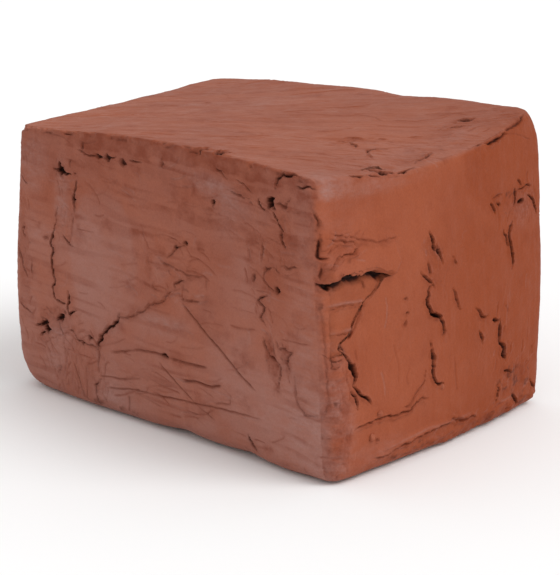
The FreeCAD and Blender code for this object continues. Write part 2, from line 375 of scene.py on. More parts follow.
RIGHT_CRACKS = [
    (1.6, 1.4, 0.7, [(-92, 144), (-91, 139), (-92, 133)]),
    (2.0, 2.0, 0.8, [(-91, 131), (-92, 126), (-93, 120), (-87, 120)]),
    (1.6, 1.6, 0.6, [(-92, 117), (-93, 109)]),
    (5.0, 4.5, 0.9, [(-94, 107), (-91, 106), (-86, 106), (-80, 107)]),
    (1.2, 1.0, 1.0, [(-65, 122), (-71, 120), (-76, 119), (-85, 117), (-92, 113)]),
    (1.2, 0.7, 0.7, [(-66, 122), (-76, 125), (-89, 128)]),
    (1.2, 0.6, 0.6, [(-37, 122), (-48, 121), (-64, 124), (-75, 127), (-87, 131)]),
    (0.9, 0.5, 0.5, [(-66, 92), (-79, 93), (-91, 94)]),
    (0.9, 0.7, 0.5, [(-75, 79), (-89, 79)]),
    (1.2, 0.8, -0.5, [(-53, 104), (-59, 98), (-67, 92), (-69, 87), (-74, 80), (-78, 76)]),
    (1.6, 1.2, 0.3, [(-66, 105), (-65, 99)]),
    (1.8, 2.6, 0.8, [(-85, 74), (-81, 69), (-78, 64)]),
    (1.3, 1.2, 0.8, [(-90, 68), (-86, 66), (-81, 66)]),
    (2.0, 3.2, 0.9, [(-78, 66), (-77, 60), (-75, 56), (-77, 51)]),
    (1.6, 3.0, 0.8, [(-77, 51), (-72, 46), (-67, 43), (-64, 39)]),
    (1.5, 2.5, 0.7, [(-78, 50), (-76, 45), (-74, 39)]),
    (0.9, 0.6, 0.2, [(-93, 98), (-92, 70), (-91, 50), (-92, 42), (-93, 34)]),
    (1.2, 1.3, 0.8, [(-20, 32), (-34, 30), (-46, 29), (-57, 30), (-68, 29), (-78, 28)]),
    (1.0, 0.9, 0.4, [(-21, 49), (-23, 42), (-28, 37), (-34, 33), (-40, 31)]),
    (1.2, 1.0, 1.2, [(-63, 9), (-42, 11), (-18, 12), (-1, 15), (24, 10)]),
    (2.6, 3.5, 0.7, [(-15, 119), (-12, 113), (-9, 107)]),
    (1.6, 2.5, 0.5, [(-9, 112), (-7, 107), (-4, 101)]),
    (1.6, 2.2, 0.7, [(-16, 105), (-15, 97)]),
    (1.6, 2.0, 0.7, [(-22, 100), (-16, 93), (-13, 90)]),
    (1.2, 1.6, 0.5, [(4, 104), (7, 97)]),
    (2.2, 3.5, 0.8, [(-17, 91), (-20, 85), (-19, 80)]),
    (3.0, 4.2, 1.3, [(-20, 83), (-16, 76), (-11, 74), (-8, 70)]),
    (1.8, 2.8, 0.8, [(-10, 73), (-7, 68), (-6, 64), (-7, 58)]),
    (1.8, 3.2, 0.9, [(-17, 61), (-14, 52), (-15, 46), (-15, 40), (-13, 36), (-7, 35)]),
    (1.2, 2.0, 0.5, [(2, 86), (5, 83), (6, 80), (9, 71)]),
    (1.4, 1.8, 0.6, [(21, 71), (26, 66), (33, 63)]),
    (2.0, 3.0, 0.8, [(37, 60), (45, 60)]),
    (2.2, 4.0, 0.9, [(44, 60), (43, 52), (44, 47)]),
    (2.6, 4.2, 0.8, [(43, 49), (48, 43), (48, 38), (50, 34)]),
    (1.5, 2.5, 0.6, [(25, 58), (29, 50)]),
    (1.5, 2.0, 0.6, [(50, 29), (57, 25)]),
    (2.0, 3.0, 0.6, [(44, 23), (45, 19), (42, 13)]),
    (2.6, 3.5, 0.7, [(58, 14), (63, 7)]),
    (1.8, 2.4, 0.4, [(79, 17), (83, 8)]),
    (2.8, 4.0, 0.9, [(64, 127), (64, 118)]),
    (1.5, 2.0, 0.8, [(67, 126), (74, 128), (80, 127)]),
    (1.4, 2.0, 0.5, [(68, 133), (70, 128)]),
    (2.4, 3.4, 0.6, [(76, 123), (82, 118), (86, 110)]),
    (2.0, 3.0, 0.5, [(42, 124), (45, 119)]),
    (1.5, 1.8, 0.6, [(47, 124), (51, 121)]),
    (1.2, 1.2, 0.5, [(53, 127), (44, 126)]),
    (1.8, 3.0, 0.7, [(61, 110), (57, 105), (55, 100)]),
    (2.8, 4.6, 0.9, [(55, 104), (57, 94), (58, 86)]),
    (1.6, 2.5, 0.5, [(52, 107), (54, 99)]),
    (2.3, 3.2, 0.5, [(-70, 157), (-65, 156), (-55, 155), (-53, 154), (-47, 154)]),
    (2.0, 2.2, 0.8, [(-42, 156), (-35, 156)]),
    (1.6, 2.3, 0.4, [(-34, 153), (-18, 153)]),
    (1.7, 2.1, 0.7, [(0, 154), (10, 155), (22, 156)]),
    (1.8, 2.4, 0.8, [(22, 155), (30, 156), (40, 157)]),
    (1.6, 2.2, 0.6, [(39, 156), (51, 157), (60, 159)]),
    (1.4, 1.8, 0.2, [(60, 160), (76, 163), (86, 166)]),
]
TOP_CRACKS = [
    (3.6, 4.2, 0.8, [(83, -5), (79, -11), (80, -18)]),
    (1.2, 1.2, 0.5, [(80, -17), (86, -22), (92, -25)]),
    (1.5, 1.8, 0.6, [(60, -6), (66, -10), (72, -13)]),
    (1.6, 1.6, 0.6, [(55, -11), (60, -7)]),
    (1.3, 1.0, 0.6, [(53, -4), (58, 1), (62, 5)]),
    (1.5, 1.4, 0.5, [(67, 8), (72, 11)]),
    (1.4, 1.2, 0.5, [(77, 22), (82, 30)]),
    (1.8, 2.0, 0.8, [(84, 45), (87, 51), (91, 57)]),
    (1.6, 1.8, 0.9, [(109, -14), (109, -5), (103, 9)]),
]
# A pit: where it is, its half lengths, its turn, and its depth.
FRONT_PITS = [
    ((-78, 133), (7.4, 1.5), 0, 3.8),
    ((-79, 134), (1.6, 4.2), 10, 3.5),
    ((-83, 49), (3.3, 2.0), 20, 3.5),
    ((-94, 41), (2.2, 3.8), 0, 4.5),
    ((-96, 43), (2.5, 1.4), 30, 3.0),
    ((-69, 119), (1.8, 2.6), 0, 3.0),
    ((-64, 38), (1.7, 1.4), 0, 2.2),
    ((-58, 43), (1.7, 1.5), 0, 2.2),
    ((-51, 146), (3.2, 1.5), 0, 2.2),
    ((-43, 146), (2.4, 1.8), 0, 2.3),
    ((-31, 145), (1.6, 2.0), 0, 1.9),
    ((-2, 149), (1.4, 1.8), 0, 1.2),
    ((0, 45), (3.2, 1.3), 0, 2.4),
    ((36, 134), (1.5, 1.4), 0, 2.6),
    ((80, 142), (3.2, 3.2), -40, 5.0),
    ((84, 99), (1.8, 2.2), 0, 3.0),
    ((11, 106), (1.4, 1.4), 0, 2.6),
    ((16, 109), (1.3, 1.5), 0, 2.2),
    ((68, 102), (1.4, 1.6), 0, 1.5),
    ((-110, 96), (1.4, 1.2), 0, 1.4),
    ((-92, 94), (1.6, 1.2), 0, 1.0),
]
RIGHT_PITS = [
    ((70, 119), (2.6, 1.8), 0, 3.5),
    ((-60, 19), (1.4, 0.8), -50, 0.9),
    ((-36, 88), (1.3, 1.1), 0, 1.0),
    ((-36, 82), (1.6, 1.0), 0, 1.2),
    ((-37, 77), (1.1, 2.0), 0, 1.0),
    ((3, 14), (1.3, 1.8), 0, 1.4),
]
TOP_PITS = [
    ((109, -42), (6.5, 3.2), 50, 5.0),
    ((85, 63), (4.0, 2.8), 40, 4.2),
    ((25, -82), (3.2, 4.6), 0, 4.5),
    ((37, -80), (3.6, 5.0), 20, 4.5),
    ((32, -79), (3.0, 1.6), 0, 2.4),
    ((-67, 18), (1.8, 1.0), 40, 0.8),
]
# A scar, where the skin has been torn off: where it is, its half lengths, its turn, and how rough it is.
FRONT_SCARS = [
    ((81, 60), (5.0, 16.0), 12, 1.25),
    ((91, 62), (3.6, 10.0), 8, 1.0),
    ((-12, 95), (3.0, 11.0), 8, 0.6),
    ((33, 127), (2.0, 6.0), -25, 0.6),
    ((80, 110), (9.0, 16.0), 0, 0.3),
    ((-84, 46), (14.0, 9.0), 0, 0.7),
    ((12, 90), (14.0, 9.0), 10, 0.4),
    ((-70, 15), (22.0, 12.0), 0, 0.35),
    ((-112, 85), (5.0, 42.0), 0, 0.5),
    ((66, 136), (14.0, 6.0), -20, 0.5),
    ((-77, 116), (6.0, 22.0), 0, 0.4),
]
RIGHT_SCARS = [
    ((-90, 35), (12.0, 42.0), 0, 0.8),
    ((-94, 118), (5.0, 32.0), 0, 0.9),
    ((-78, 123), (14.0, 7.0), -10, 0.3),
    ((-12, 103), (9.0, 15.0), 12, 0.5),
    ((20, 5), (70.0, 5.0), 0, 0.7),
    ((62, 20), (18.0, 12.0), 0, 0.7),
    ((70, 120), (16.0, 10.0), 10, 0.6),
    ((48, 45), (6.0, 18.0), 8, 0.4),
]
TOP_SCARS = [
    ((62, -3), (10.0, 6.0), 40, 0.5),
    ((100, 0), (9.0, 55.0), 4, 0.4),
    ((84, 55), (5.0, 18.0), -10, 0.4),
]
# A score: its width, its depth, how fresh the clay in it looks and how much painted shade lies in it, and
# the line it follows. A depth below 0 is a ridge, and a freshness below 0 is slip, which along a ridge is a
# painted highlight.
FRONT_SCORES = [
    (1.4, 1.0, 0.8, [(-43, 37), (-18, 44), (-7, 45), (2, 45)]),
    (1.4, 1.2, 0.9, [(4, 44), (17, 45), (35, 46)]),
    (1.5, 1.3, 0.9, [(13, 35), (28, 36), (37, 36), (45, 39)]),
    (1.2, 0.8, 0.8, [(-54, 14), (-23, 20), (-4, 21), (16, 23), (42, 25), (75, 26)]),
    (1.1, 0.6, 0.6, [(-54, 21), (-31, 24), (-17, 28)]),
    (1.1, 1.0, 1.0, [(13, 79), (28, 67), (43, 58), (58, 47), (70, 40)]),
    (1.0, 0.8, 0.9, [(-5, 41), (12, 31), (27, 22), (40, 16)]),
    (1.2, 0.7, 0.6, [(44, 38), (51, 34), (50, 29), (37, 27)]),
    (1.3, 0.7, 0.7, [(-52, 38), (-53, 22)]),
    (1.3, 0.9, 0.7, [(-74, 25), (-68, 12), (-65, 4)]),
    (1.2, 0.9, 0.7, [(-63, 26), (-63, 10), (-64, 3)]),
    (1.1, 0.8, 0.6, [(-28, 16), (-29, 5)]),
    (1.2, -0.8, -0.5, [(-17, 62), (14, 65)]),
    (1.1, -0.6, -0.4, [(-12, 65), (8, 67)]),
]
RIGHT_SCORES = [
    (1.8, -1.3, -0.6, [(-66, 94), (-79, 95), (-92, 96)]),
    (1.8, -1.2, -0.5, [(-75, 81), (-90, 81)]),
    (1.4, -0.8, -0.4, [(-60, 12), (-20, 15), (20, 14)]),
    (1.2, 0.4, 0.4, [(-47, 68), (-43, 55), (-44, 45)]),
    (1.1, 0.4, 0.8, [(56, 159), (68, 157), (83, 151)]),
]
# Fine scratches, spread at random: where, half lengths, how many, their length, and their slant.
FRONT_SCRATCHES = [
    ((0, 80), (112, 72), 150, 26, 3),
    ((-72, 18), (26, 16), 80, 13, 75),
    ((-72, 20), (26, 18), 60, 14, 120),
    ((-82, 42), (16, 14), 30, 9, 40),
    ((-10, 25), (55, 14), 36, 30, 8),
    ((78, 95), (16, 36), 40, 12, 95),
    ((86, 60), (10, 22), 26, 10, 105),
    ((58, 134), (30, 12), 46, 18, -12),
    ((-30, 134), (45, 12), 36, 24, -5),
    ((8, 92), (22, 18), 44, 10, 20),
    ((4, 92), (20, 18), 24, 10, 110),
    ((-110, 85), (8, 60), 36, 12, 95),
    ((-77, 116), (7, 24), 26, 11, 92),
]
RIGHT_SCRATCHES = [
    ((0, 70), (84, 42), 34, 22, 88),
    ((-84, 35), (9, 34), 50, 9, 95),
    ((-82, 124), (12, 10), 20, 12, 8),
    ((20, 8), (66, 6), 40, 14, 5),
    ((-10, 104), (9, 14), 22, 7, 110),
    ((62, 22), (18, 16), 26, 9, 60),
    ((68, 118), (16, 12), 22, 8, 70),
    ((48, 50), (10, 22), 20, 9, 80),
]
TOP_SCRATCHES = [
    ((0, 0), (115, 84), 160, 45, 34),
    ((70, -5), (20, 14), 34, 8, 15),
    ((98, 10), (10, 60), 34, 12, 70),
    ((84, 55), (8, 16), 16, 8, 60),
]
# Haze of dried slip: where, half lengths, turn, strength.
FRONT_HAZE = [
    ((-104, 136), (13, 17), 0, 0.9),
    ((-79, 119), (6, 22), 0, 0.9),
    ((-88, 32), (10, 24), -20, 0.8),
    ((-108, 60), (8, 22), 0, 0.5),
    ((-42, 12), (17, 9), 0, 0.8),
    ((40, 141), (26, 7), -16, 0.85),
    ((47, 128), (9, 12), 0, 0.45),
    ((-60, 96), (15, 42), 8, 0.45),
    ((0, 62), (20, 6), 5, 0.7),
    ((-2, 92), (6, 7), 0, 0.7),
    ((50, 45), (22, 26), 0, 0.25),
    ((104, 80), (12, 75), 0, 0.5),
    ((108, 30), (14, 34), 0, 0.3),
    ((-100, 100), (8, 16), 0, 0.4),
]
RIGHT_HAZE = [
    ((-92, 30), (15, 46), 0, 0.85),
    ((-80, 153), (13, 8), -8, 0.9),
    ((-50, 150), (36, 5), 0, 0.35),
    ((-70, 12), (30, 8), 3, 0.3),
    ((70, 115), (12, 10), 0, 0.3),
]
TOP_HAZE = [
    ((-40, 40), (60, 10), 41, 0.25),
    ((95, 10), (8, 60), 0, 0.25),
]
# A patch of one tint with a plain border: the tint, where, half lengths, turn, strength.
FRONT_PATCHES = [("haze", (-46, 88), (26, 40), 0, 0.25)]
RIGHT_PATCHES = [("damp", (72, 148), (54, 38), 0, 0.6)]

# The back and the left side, which are plainer.
BACK_CRACKS = [
    (2.9, 2.4, 0.6, [(-74, 151), (-52, 149), (-38, 151), (-12, 150)]),
    (3.8, 3.6, 0.8, [(58, 98), (54, 86), (57, 75), (52, 62)]),
    (2.7, 2.0, 0.6, [(57, 75), (66, 70), (71, 61)]),
    (3.0, 2.6, 0.7, [(-20, 40), (-8, 44), (6, 41), (14, 47)]),
    (3.2, 2.8, 0.6, [(-92, 32), (-88, 20), (-91, 8)]),
    (2.9, 2.4, 0.6, [(88, 140), (94, 131), (92, 122)]),
]
LEFT_CRACKS = [
    (3.5, 3.4, 0.8, [(-60, 122), (-56, 109), (-60, 97), (-56, 84)]),
    (2.7, 2.0, 0.6, [(-56, 109), (-46, 104), (-42, 96)]),
    (3.0, 2.6, 0.7, [(18, 61), (30, 55), (37, 44)]),
    (2.9, 2.2, 0.5, [(52, 150), (64, 146), (74, 148)]),
]
BACK_PITS = [
    ((30, 122), (2.8, 1.8), 20, 3.0),
    ((-48, 94), (2.2, 1.8), 0, 2.4),
    ((84, 40), (3.0, 2.0), 60, 3.0),
]
LEFT_PITS = [
    ((-18, 130), (2.6, 1.8), 0, 2.8),
    ((48, 24), (2.0, 3.0), 0, 2.6),
]
BACK_SCARS = [
    ((60, 82), (10.0, 22.0), 10, 0.6),
    ((0, 6), (100.0, 6.0), 0, 0.6),
    ((-90, 26), (12.0, 20.0), 0, 0.5),
    ((-20, 148), (70.0, 8.0), 0, 0.4),
]
LEFT_SCARS = [
    ((-56, 104), (11.0, 24.0), 0, 0.6),
    ((0, 6), (76.0, 6.0), 0, 0.6),
    ((30, 52), (14.0, 9.0), -30, 0.4),
]
BACK_SCORES = [
    (1.8, 1.0, 0.8, [(-34, 120), (8, 98), (34, 84)]),
    (1.7, 0.9, 0.7, [(-62, 62), (-24, 67), (8, 64)]),
    (1.7, 0.8, 0.7, [(18, 30), (50, 22), (78, 21)]),
]
LEFT_SCORES = [
    (1.8, 1.0, 0.8, [(-24, 92), (8, 74), (34, 70)]),
    (1.7, 0.8, 0.7, [(-50, 34), (-16, 38), (12, 34)]),
]
BACK_SCRATCHES = [((0, 80), (104, 70), 110, 24, 4)]
LEFT_SCRATCHES = [((0, 80), (76, 70), 70, 20, 84)]
BACK_HAZE = [
    ((-80, 120), (26, 18), 20, 0.6),
    ((20, 60), (40, 14), -12, 0.5),
    ((95, 70), (10, 50), 0, 0.6),
    ((-50, 20), (30, 10), 5, 0.6),
]
LEFT_HAZE = [
    ((60, 100), (14, 40), 10, 0.6),
    ((-30, 70), (24, 12), -25, 0.5),
    ((-70, 30), (12, 24), 0, 0.6),
]


class Spot:
    """The points of the skin round some places on one face, and those places in the plane of the face."""

    def __init__(self, skin, face, line, margin):
        line = np.asarray(line, float)
        places = (skin.points + skin.warp)[:, PLANE[face]]
        inside = ((places > line.min(axis=0) - margin) & (places < line.max(axis=0) + margin)).all(axis=1)
        self.index = np.flatnonzero(inside & (skin.facing[face] > 0.3))
        self.places = places[self.index]
        self.points = skin.points[self.index]
        self.straight = (self.points + 0.25 * skin.warp[self.index])[:, PLANE[face]]
        self.skin = skin

    def sink(self, depths):
        self.skin.cut[self.index] = np.maximum(self.skin.cut[self.index], depths)

    def lift(self, heights):
        self.skin.raised[self.index] += heights

    def stain(self, tint, amounts):
        self.skin.stain(tint, amounts, self.index)

    def turned(self, middle, halves, degrees):
        """The places in the axes of a turned ellipse, as shares of its half lengths."""
        angle = math.radians(degrees)
        along = np.array([math.cos(angle), math.sin(angle)])
        across = np.array([-math.sin(angle), math.cos(angle)])
        offset = self.places - np.array(middle)
        return np.stack([offset @ along / halves[0], offset @ across / halves[1]], axis=1)


def carve_crack(skin, face, crack, seed):
    """A torn groove with a raised lip on one side, painted shade deep in it, and reddened clay along it."""
    width, depth, lip, line = crack
    spot = Spot(skin, face, line, 9.0)
    distance, along, side = line_distance(spot.places, line)
    length = np.linalg.norm(np.diff(np.asarray(line, float), axis=0), axis=1).sum()
    from_end = np.minimum(along, 1 - along) * length
    taper = smooth(from_end, -0.3, min(5.0, 0.35 * length))
    wander = fractal(spot.points, 4.2, seed, 3)
    half = width * 0.27 * (0.2 + 0.8 * taper) * np.clip(0.85 + 0.8 * wander, 0.1, 1.6)
    groove = 1 - smooth(distance, half * 0.5, half + 0.3)
    groove *= 0.35 + 0.65 * taper
    spot.sink(depth * groove)
    # Painted shade: the deeper the groove, the darker it is painted.
    darkness = smooth(depth * groove, 0.7, 3.2)
    spot.stain("crack", darkness)
    rough = 0.5 + 0.5 * noise(spot.points, 2.0, seed + 9)
    near_rim = np.exp(-(((distance - half - 0.7) / 0.8) ** 2))
    on_lip = (side > 0) if lip > 0 else (side < 0)
    broad = on_lip * np.exp(-np.maximum(distance - half, 0) / 2.6)
    spot.lift(abs(lip) * taper * (near_rim * (0.25 + 0.9 * rough) + 0.75 * broad))
    reddened = np.exp(-((distance / (1.6 + width * 0.6)) ** 2)) * (0.3 + 0.7 * rough) * taper
    spot.stain("fresh", 0.75 * reddened)


def carve_pit(skin, face, pit, seed):
    """A ragged hollow with a low rim and painted shade in it."""
    middle, halves, degrees, depth = pit
    spot = Spot(skin, face, [middle, middle], max(halves) * 2 + 3)
    pointed = 0.9  # the power of the pit's outline: 2 would be an ellipse, 1 is a diamond
    far = (np.abs(spot.turned(middle, halves, degrees)) ** pointed).sum(axis=1) ** (1 / pointed) * 0.85
    far += 0.5 * fractal(spot.points, 2.8, seed, 3)
    hollow = 1 - smooth(far, 0.5, 1.1)
    spot.sink(depth * hollow)
    # Painted shade in the hollow.
    spot.stain("crack", smooth(depth * hollow, 0.7, 3.0))
    rim = np.exp(-(((far - 1.3) / 0.3) ** 2)) * (0.5 + 0.5 * noise(spot.points, 2.2, seed + 5))
    spot.lift(0.7 * rim)
    spot.stain("fresh", 0.6 * np.exp(-((far / 1.8) ** 2)))


def tear_scar(skin, face, scar, seed):
    """A patch of broken skin, in flaky ledges, with painted shade along fine creases."""
    middle, halves, degrees, rough = scar
    spot = Spot(skin, face, [middle, middle], max(halves) * 1.5)
    far = np.linalg.norm(spot.turned(middle, halves, degrees), axis=1)
    patch = 1 - smooth(far + 0.5 * fractal(spot.points, 6.0, seed, 3), 0.55, 1.15)
    flakes = fractal(spot.points, 6.5, seed + 3, 5)
    ledges = smooth(flakes, -0.32, -0.22) + smooth(flakes, 0.0, 0.1) + smooth(flakes, 0.3, 0.4)
    spot.lift(rough * patch * (0.45 * ledges - 0.8 + 0.3 * fractal(spot.points, 2.2, seed + 8, 2)))
    spot.stain("fresh", rough * patch * (1.0 - 0.18 * ledges))
    folds = fractal(spot.points, 11.0, seed + 5, 4)
    broken = smooth(noise(spot.points, 5.0, seed + 7), 0.1, 0.6) * smooth(patch, 0.1, 0.6)
    # Painted shade along fine creases in the broken skin.
    spot.stain("crack", 0.5 * min(rough, 1.0) * broken * np.exp(-((folds / 0.05) ** 2)))


def carve_score(skin, face, score, seed):
    """A shallow drawn line with a little painted shade in it, or a ridge with a painted highlight along it.
    """
    width, depth, fresh, line = score
    spot = Spot(skin, face, line, 4.0)
    distance, along, _ = line_distance(spot.straight, line)
    fade = smooth(np.minimum(along, 1 - along), 0.0, 0.12)
    fade *= smooth(noise(spot.points, 12.0, seed), -1.0, -0.2)
    groove = np.exp(-((distance / (width * 0.4)) ** 2)) * fade
    spot.lift(-depth * groove)
    rim = np.exp(-(((distance - width * 0.8) / (width * 0.4)) ** 2)) * fade
    spot.lift(0.35 * abs(depth) * rim)
    if fresh > 0:
        spot.stain("fresh", 1.25 * fresh * groove)
        spot.stain("crack", 0.12 * fresh * groove * smooth(depth, 0.3, 1.0))
    else:
        # Pale slip in the groove, which on a ridge is a painted highlight along its crest.
        spot.stain("slip", -fresh * groove)


def spread_scratches(skin, face, patch, seed):
    """Short shallow scores at random places, most of them nearly along one slant."""
    middle, halves, count, length, slant = patch
    rng = np.random.default_rng(seed)
    for k in range(count):
        start = np.array(middle) + rng.uniform(-1, 1, 2) * np.array(halves)
        angle = math.radians(slant + rng.normal(0, 9))
        bend = rng.normal(0, 0.25)
        steps = length * rng.uniform(0.3, 1.0) / 3
        line = [start]
        for _ in range(3):
            line.append(line[-1] + steps * np.array([math.cos(angle), math.sin(angle)]))
            angle += bend
        strength = rng.uniform(0.3, 1.0) ** 1.5
        tone = rng.choice([0.75, 0.75, -0.6]) * strength
        score = (rng.uniform(0.8, 1.8), 0.42 * strength, tone, line)
        carve_score(skin, face, score, seed + k)


def smear_haze(skin, face, smear, seed):
    """Haze over a patch. It reaches round the block's edges, so it goes by distance and not by face."""
    (u, v), halves, degrees, strength = smear
    end = 1.5  # where the haze has faded out, in half lengths
    first, second = PLANE[face]
    offset = skin.points + 0.6 * skin.warp
    out = skin.points @ np.array(OUTWARDS[face])
    beside = np.hypot(offset[:, first] - u, offset[:, second] - v)
    beside[skin.facing[face] < 0.7] = np.inf
    level = out[np.argmin(beside)]
    angle = math.radians(degrees)
    along = (offset[:, first] - u) * math.cos(angle) + (offset[:, second] - v) * math.sin(angle)
    across = (offset[:, second] - v) * math.cos(angle) - (offset[:, first] - u) * math.sin(angle)
    depth = (out - level) / max(halves)
    far = np.sqrt((along / halves[0]) ** 2 + (across / halves[1]) ** 2 + depth**2)
    near = np.flatnonzero(far < end)
    streaks = 0.8 + 0.8 * fractal(skin.points[near] * np.array([0.4, 0.4, 1.0]), 5.0, seed, 4)
    skin.stain("slip", strength * (1 - smooth(far[near], 0.2, end)) * np.clip(streaks, 0, 1.2), near)


def tint_patch(skin, face, patch, seed):
    """One tint over a patch of a face."""
    tint, middle, halves, degrees, strength = patch
    spot = Spot(skin, face, [middle, middle], max(halves) * 1.4)
    far = np.linalg.norm(spot.turned(middle, halves, degrees), axis=1)
    far += 0.05 * fractal(spot.points, 20.0, seed, 3)
    skin.tints[tint][spot.index] += strength * (1 - smooth(far, 0.93, 1.06))


WIRE = np.array([0.829, 0.559, 0.0])  # which way the cutting wire was pulled over the top
RIM_ROUNDING = 3.5  # the radius of the top's rim in the CAD, which is drawn out to an edge
FAR_CORNER = (113, 94, 166)  # where the back, the right face and the top would meet
# Where the clay has slumped or worn: a place, which way and how far it moved, and how far round that shows.
PUSHES = [
    (FAR_CORNER, (-3.4, -3.4, -3.6), 28),
    ((110, 92, 165), (0, 0, 3.0), 60),
    ((20, 90, 165), (0, 0, -2.0), 70),
    ((-80, 92, 165), (0, 0, 1.5), 60),
    ((-125, 0, 165), (0, 0, -1.5), 90),
    ((-127, -81, 0), (5.5, 5.5, 5.0), 34),
    ((10, -84, 0), (0, 1.5, 2.2), 60),
    ((60, -84, 0), (0, 1.5, 2.0), 60),
    ((113, 94, 0), (2.5, 1.0, -2.0), 26),
]


def drag_top(skin):
    """Fine lines that the cutting wire dragged over the top."""
    p = skin.points
    across = p @ np.array([-WIRE[1], WIRE[0], 0.0])
    bent = across + 2.0 * noise(p, 60.0, 70)
    fine = np.stack([bent, p @ WIRE * 0.035, np.zeros(len(p))], axis=1)
    top = smooth(skin.facing[TOP], 0.6, 0.97)
    skin.raised += top * (0.13 * noise(fine, 4.5, 71) + 0.07 * noise(fine, 1.7, 72))
    skin.tints["fresh"] += top * 0.37 * smooth(noise(fine, 2.4, 73), 0.1, 0.9)
    skin.tints["haze"] += top * 0.12 * smooth(noise(fine, 3.1, 77), 0.1, 0.9)


def drag_sides(skin):
    """Upright strokes on the right and left, and slanting ones on the front and back."""
    p = skin.points
    right = smooth(np.abs(skin.facing[RIGHT]), 0.5, 0.95)
    upright = np.stack([p[:, 1] + 1.5 * noise(p, 40.0, 78), p[:, 2] * 0.05, np.zeros(len(p))], axis=1)
    skin.raised += right * (0.1 * noise(upright, 3.4, 74) + 0.05 * noise(upright, 1.6, 79))
    front = smooth(np.abs(skin.facing[FRONT]), 0.5, 0.95)
    slanted = p[:, 2] + 0.05 * p[:, 0] + 2.5 * noise(p, 30.0, 80)
    strokes = np.stack([slanted, p[:, 0] * 0.06, np.zeros(len(p))], axis=1)
    patch = smooth(noise(p, 34.0, 76), -0.35, 0.4)
    skin.raised += front * (0.1 + 0.2 * patch) * noise(strokes, 2.2, 75)
    skin.tints["fresh"] += front * (0.15 + 0.4 * patch) * smooth(noise(strokes, 2.0, 81), 0.0, 0.8)


def square_rim(skin):
    """Draw the rounded rim of the top out to a crisper edge, ragged just below it on the front, with painted
    shade in the nicks there.
    """
    sideways = np.hypot(skin.normals[:, 0], skin.normals[:, 1])
    flatter = np.clip(np.maximum(sideways, skin.normals[:, 2]), 0.7, 1.0)
    on_rim = (skin.normals[:, 2] > 0.2) & (sideways > 0.2)
    keen = 0.75 - 0.6 * smooth(skin.normals[:, 0], 0.1, 0.5)
    keen *= smooth(np.linalg.norm(skin.points - np.array(FAR_CORNER), axis=1), 10.0, 45.0)
    skin.raised += on_rim * keen * RIM_ROUNDING * (1 / flatter - 1)
    beside_rim = smooth(skin.normals[:, 2], 0.1, 0.5) * smooth(skin.normals[:, 2], 0.998, 0.9)
    beside_rim *= smooth(-skin.normals[:, 1], 0.02, 0.3)
    ragged = fractal(skin.points, 7.0, 87, 5)
    skin.raised += beside_rim * 3.2 * np.minimum(ragged, 0.12)
    skin.stain("crack", 0.12 * beside_rim * smooth(ragged, -0.2, -0.5))


def push_skin(skin):
    """Slump the block: round the worn corners and swell or sink its edges."""
    for place, push, reach in PUSHES:
        far = np.linalg.norm(skin.points - np.array(place), axis=1)
        near = np.clip(1 - far / reach, 0, 1) ** 3
        skin.points += near[:, None] * np.array(push)
    skin.measure()


def roughen_base_edge(skin):
    """Where the block meets the floor its skin is crumpled, darker and redder, with painted shade in the
    crumples.
    """
    low = smooth(skin.points[:, 2], 11.0, 2.0) * smooth(skin.normals[:, 2], -0.75, -0.2)
    flakes = fractal(skin.points, 6.0, 91, 4)
    skin.raised += low * 1.3 * flakes
    skin.stain("fresh", low * (0.45 + 0.7 * flakes))
    skin.stain("crack", 0.5 * low * smooth(flakes, 0.3, 0.7))


def set_ground_tints(skin):
    """The front and top are greyer than the right face, partly from a dried wash of clay and partly as a
    painted sheen; the right face is damp at its far side.
    """
    x, y, z = skin.points.T
    dry_and_sheen = (1 - smooth(skin.normals[:, 0], 0.35, 0.85)) * (1 - 0.45 * smooth(skin.facing[TOP], 0.4, 0.8))
    clouds = fractal(skin.points, 30.0, 95, 3)
    # Painted light: the haze grows towards the base, to lift the shade near the floor.
    skin.tints["haze"] += dry_and_sheen * np.clip(0.45 + 0.4 * clouds + 0.36 * smooth(z, 110.0, 20.0), 0, 1)
    # The band of the top sheet's cut edge on the front, under the rim, is darker and redder: partly its own
    # redder tone, partly painted shade; less so to the left.
    shaded_cut_edge = skin.share_of("top_sheet", 1) * smooth(skin.facing[FRONT], 0.35, 0.5)
    skin.tints["fresh"] += 0.75 * shaded_cut_edge * smooth(x, -95.0, -60.0)
    # Painted shade: the front darkens towards the top.
    skin.tints["fresh"] += 0.5 * smooth(skin.facing[FRONT], 0.5, 0.9) * smooth(z, 90.0, 150.0)
    right = smooth(skin.facing[RIGHT], 0.5, 0.9)
    skin.tints["fresh"] += 0.1 * right
    wetter = 0.35 + 0.5 * smooth(z, 135.0, 100.0) + 0.2 * clouds
    skin.tints["damp"] += right * smooth(y, -35.0, 30.0) * wetter
    wisps = fractal(skin.points, 11.0, 96, 4)
    skin.tints["fresh"] += (0.2 + 0.4 * dry_and_sheen) * smooth(wisps, 0.15, 0.75)


def swell(skin):
    """The block's gentle swells and its fine grain."""
    p = skin.points
    skin.raised += 0.8 * noise(p, 38.0, 11) + 0.4 * noise(p, 15.0, 12) + 0.16 * fractal(p, 5.0, 13, 3)
    skin.raised += 0.07 * fractal(p, 2.0, 14, 2)


